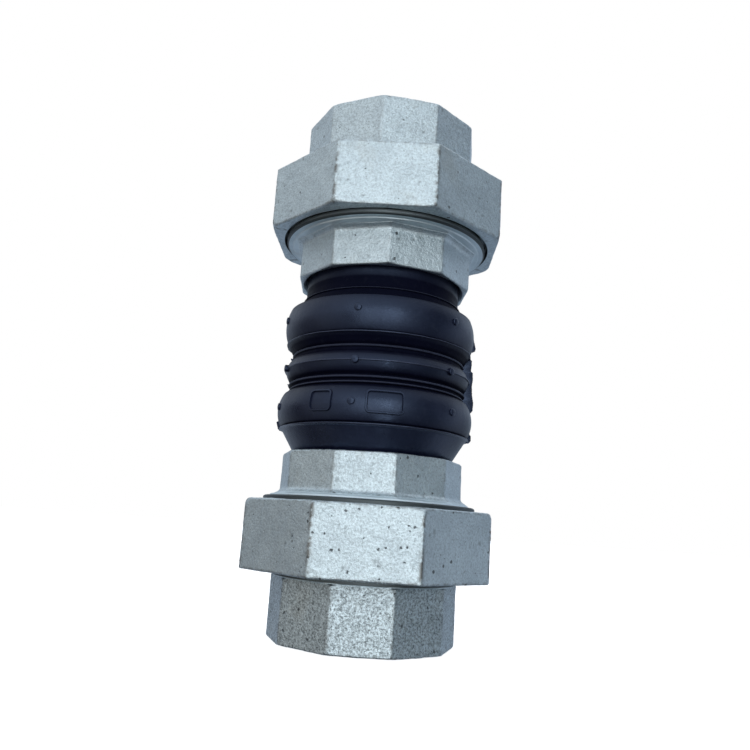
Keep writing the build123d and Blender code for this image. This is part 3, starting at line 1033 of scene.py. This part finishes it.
def inner_rubber():
    n = Nodes("inner_rubber")
    cloud = n.noise(80, 3, 0.5)
    base = n.mix(cloud, (0.016, 0.016, 0.018), (0.032, 0.031, 0.030))
    rough = n.spread(n.noise(300, 4, 0.5), 0.3, 0.7, 0.42, 0.58)
    skin = n.bump(n.noise(600, 4, 0.6), 0.00006, 0.6)
    return n.set(Base_Color=base, Roughness=rough, Normal=skin)


def cord_fabric():
    n = Nodes("cord_fabric")
    strand = n.noise(900, 3, 0.6)
    base = n.mix(n.spread(strand, 0.3, 0.7), (0.30, 0.26, 0.19), (0.55, 0.49, 0.38))
    skin = n.bump(strand, 0.0001, 0.8)
    return n.set(Base_Color=base, Roughness=n.spread(strand, 0.3, 0.7, 0.7, 0.9), Normal=skin)


def wire_steel():
    n = Nodes("wire_steel")
    draw = n.noise(500, 3, 0.5)
    base = n.mix(n.spread(draw, 0.3, 0.7), (0.42, 0.33, 0.20), (0.58, 0.50, 0.36))
    return n.set(Base_Color=base, Metallic=1.0, Roughness=n.spread(draw, 0.3, 0.7, 0.22, 0.4))


def floor_paper():
    """White sweep that glows a little, so that it runs into the backdrop without a horizon."""
    n = Nodes("floor_paper")
    base = n.mix(n.noise(6, 3, 0.5), (0.88, 0.88, 0.89), (0.92, 0.92, 0.925))
    rough = n.spread(n.noise(30, 2, 0.5), 0.3, 0.7, 0.85, 0.95)
    return n.set(Base_Color=base, Roughness=rough, Emission_Color=WHITE, Emission_Strength=0.8)


# ---- assembly ----


def seat(piece, body, node):
    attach(piece, body)
    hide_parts(node)


UPPER_FITTING_TURN = 10.0
UPPER_COLLAR_TURN = 20.0
UPPER_NUT_TURN = -2.0
LOWER_COLLAR_TURN = -4.0

zinc = zinc_casting()
fitting = end_fitting("lower_fitting_casting", 11, zinc, Skin(1.0, 0.5, 0.35))
seat(fitting, "lower_pipe_end", "lower_end_fitting")
nut = union_nut("lower_nut_casting", 23, zinc, Skin(0.2, 0.7, 1.0))
seat(nut, "lower_nut", "lower_union_nut")
sleeve = collar("lower_collar_casting", 37, zinc, Skin(0.3, 0.3, 0.4), 0.97)
sleeve.data.transform(Matrix.Rotation(math.radians(LOWER_COLLAR_TURN), 4, "Z"))
seat(sleeve, "lower_neck_end", "lower_collar")

fitting = end_fitting("upper_fitting_casting", 41, zinc, Skin(0.3, 0.15, 0.25))
seat(place_upper(fitting, UPPER_FITTING_TURN), "upper_pipe_end", "upper_end_fitting")
nut = union_nut("upper_nut_casting", 53, zinc, Skin(0.15, 0.12, 0.9))
seat(place_upper(nut, UPPER_NUT_TURN), "upper_nut", "upper_union_nut")
sleeve = collar("upper_collar_casting", 67, zinc, Skin(0.05, 0.25, 0.3), 0.5)
seat(place_upper(sleeve, UPPER_COLLAR_TURN), "upper_neck_end", "upper_collar")

build_cover(cover_rubber())
build_lining("cord_ply", TUBE, PLY, cord_fabric(), cords)
build_lining("tube", 0.0, TUBE, inner_rubber())

steel = wire_steel()
wire_ring("root_ring", "waist", steel)
for end in ("lower", "upper"):
    wire_ring(f"{end}_bead_ring", f"{end}_neck_end", steel)

# ---- studio ----

ABOVE = (0.92, 0.98, 1.05)
BELOW = (0.075, 0.088, 0.105)
# colours of the room round the part, in degrees from the front, seen level and seen looking up
LEVEL_ROOM = [
    (-180, (0.36, 0.44, 0.55)),
    (-140, (0.38, 0.44, 0.52)),
    (-96, (0.08, 0.075, 0.08)),
    (-70, (0.56, 0.54, 0.50)),
    (-40, (0.44, 0.45, 0.45)),
    (40, (0.32, 0.35, 0.36)),
    (64, (0.09, 0.12, 0.13)),
    (78, (0.11, 0.15, 0.17)),
    (98, (0.54, 0.60, 0.71)),
    (135, (0.28, 0.34, 0.41)),
    (180, (0.36, 0.44, 0.55)),
]
RAISED_ROOM = [
    (-180, (0.38, 0.46, 0.56)),
    (-110, (0.62, 0.67, 0.72)),
    (-80, (0.46, 0.48, 0.48)),
    (-54, (0.70, 0.73, 0.75)),
    (-32, (1.06, 1.12, 1.16)),
    (-10, (0.72, 0.77, 0.81)),
    (32, (0.60, 0.66, 0.69)),
    (60, (0.07, 0.09, 0.11)),
    (90, (0.04, 0.06, 0.07)),
    (120, (0.56, 0.65, 0.78)),
    (180, (0.38, 0.46, 0.56)),
]


def build_world():
    """A white backdrop to the camera; surfaces reflect a room with plain soft-coloured walls."""
    world = bpy.data.worlds.new("studio")
    world.use_nodes = True
    bpy.context.scene.world = world
    n = Nodes.on(world.node_tree)
    ray = n.add("ShaderNodeTexCoord").outputs["Generated"]
    split = n.add("ShaderNodeSeparateXYZ")
    n.feed(split.inputs[0], ray)
    x, y, z = split.outputs
    azimuth = n.maths("ARCTAN2", x, n.times(y, -1.0))
    around = n.spread(azimuth, -math.pi, math.pi)
    room = n.mix(n.smooth(z, 0.05, 0.38), n.ramp(around, LEVEL_ROOM), n.ramp(around, RAISED_ROOM))
    room = n.mix(n.smooth(z, 0.50, 0.90), room, ABOVE)
    room = n.mix(n.smooth(z, -0.48, -0.82), room, BELOW)
    seen = n.add("ShaderNodeLightPath").outputs["Is Camera Ray"]
    back = n.add("ShaderNodeBackground")
    n.feed(back.inputs["Color"], n.mix(seen, room, WHITE))
    out = n.add("ShaderNodeOutputWorld")
    n.feed(out.inputs[0], back.outputs[0])


def build_floor():
    half = 3.0
    mesh = bpy.data.meshes.new("floor")
    below = -0.0003
    corners = [(-half, -half, below), (half, -half, below), (half, half, below), (-half, half, below)]
    mesh.from_pydata(corners, [], [(0, 1, 2, 3)])
    mesh.materials.append(floor_paper())
    floor = bpy.data.objects.new("floor", mesh)
    floor.visible_glossy = False
    floor.visible_diffuse = False
    bpy.context.scene.collection.objects.link(floor)


def add_panel(name, turn, tilt, distance, width, height, brightness, colour):
    """A soft light facing the part; turn is in degrees from the front, tilt in degrees upwards."""
    middle = Vector((0, 0, LENGTH * MM / 2))
    turn, tilt = math.radians(turn), math.radians(tilt)
    away = Vector((math.sin(turn) * math.cos(tilt), -math.cos(turn) * math.cos(tilt), math.sin(tilt)))
    light = bpy.data.lights.new(name, "AREA")
    light.shape = "RECTANGLE"
    light.size, light.size_y = width, height
    light.energy = brightness * math.pi * width * height
    light.color = colour
    lamp = bpy.data.objects.new(name, light)
    lamp.location = middle + away * distance
    lamp.rotation_mode = "QUATERNION"
    lamp.rotation_quaternion = (-away).to_track_quat("-Z", "Y")
    lamp.visible_camera = False
    bpy.context.scene.collection.objects.link(lamp)


def build_camera():
    """Stands at the viewing angle of a hand-held phone close to the part, a little below its middle."""
    distance, height = 0.3059, 0.0474
    pan, tilt, roll = math.radians(-0.19), math.radians(11.475), math.radians(3.91)
    ahead = Vector((math.sin(pan) * math.cos(tilt), math.cos(pan) * math.cos(tilt), math.sin(tilt)))
    side = Vector((math.cos(pan), -math.sin(pan), 0))
    up = side.cross(ahead)
    right = side * math.cos(roll) + up * math.sin(roll)
    above = up * math.cos(roll) - side * math.sin(roll)
    lens = bpy.data.cameras.new("camera")
    lens.sensor_width = 36
    lens.lens = 34.7
    lens.clip_start = 0.01
    camera = bpy.data.objects.new("camera", lens)
    turn = Matrix((right, above, -ahead)).transposed()
    camera.matrix_world = Matrix.Translation((0, -distance, height)) @ turn.to_4x4()
    bpy.context.scene.collection.objects.link(camera)
    bpy.context.scene.camera = camera


build_floor()
build_world()
add_panel("front_panel", 1, 1, 1.1, 1.06, 0.96, 1.16, (0.94, 0.98, 1.0))
add_panel("strip_panel", 13, 10, 1.0, 0.12, 0.50, 2.3, (0.92, 0.98, 1.0))
add_panel("low_panel", 11, -37, 0.8, 0.12, 0.26, 9.0, (0.90, 0.97, 1.0))
build_camera()
bpy.context.scene.view_settings.view_transform = "Standard"
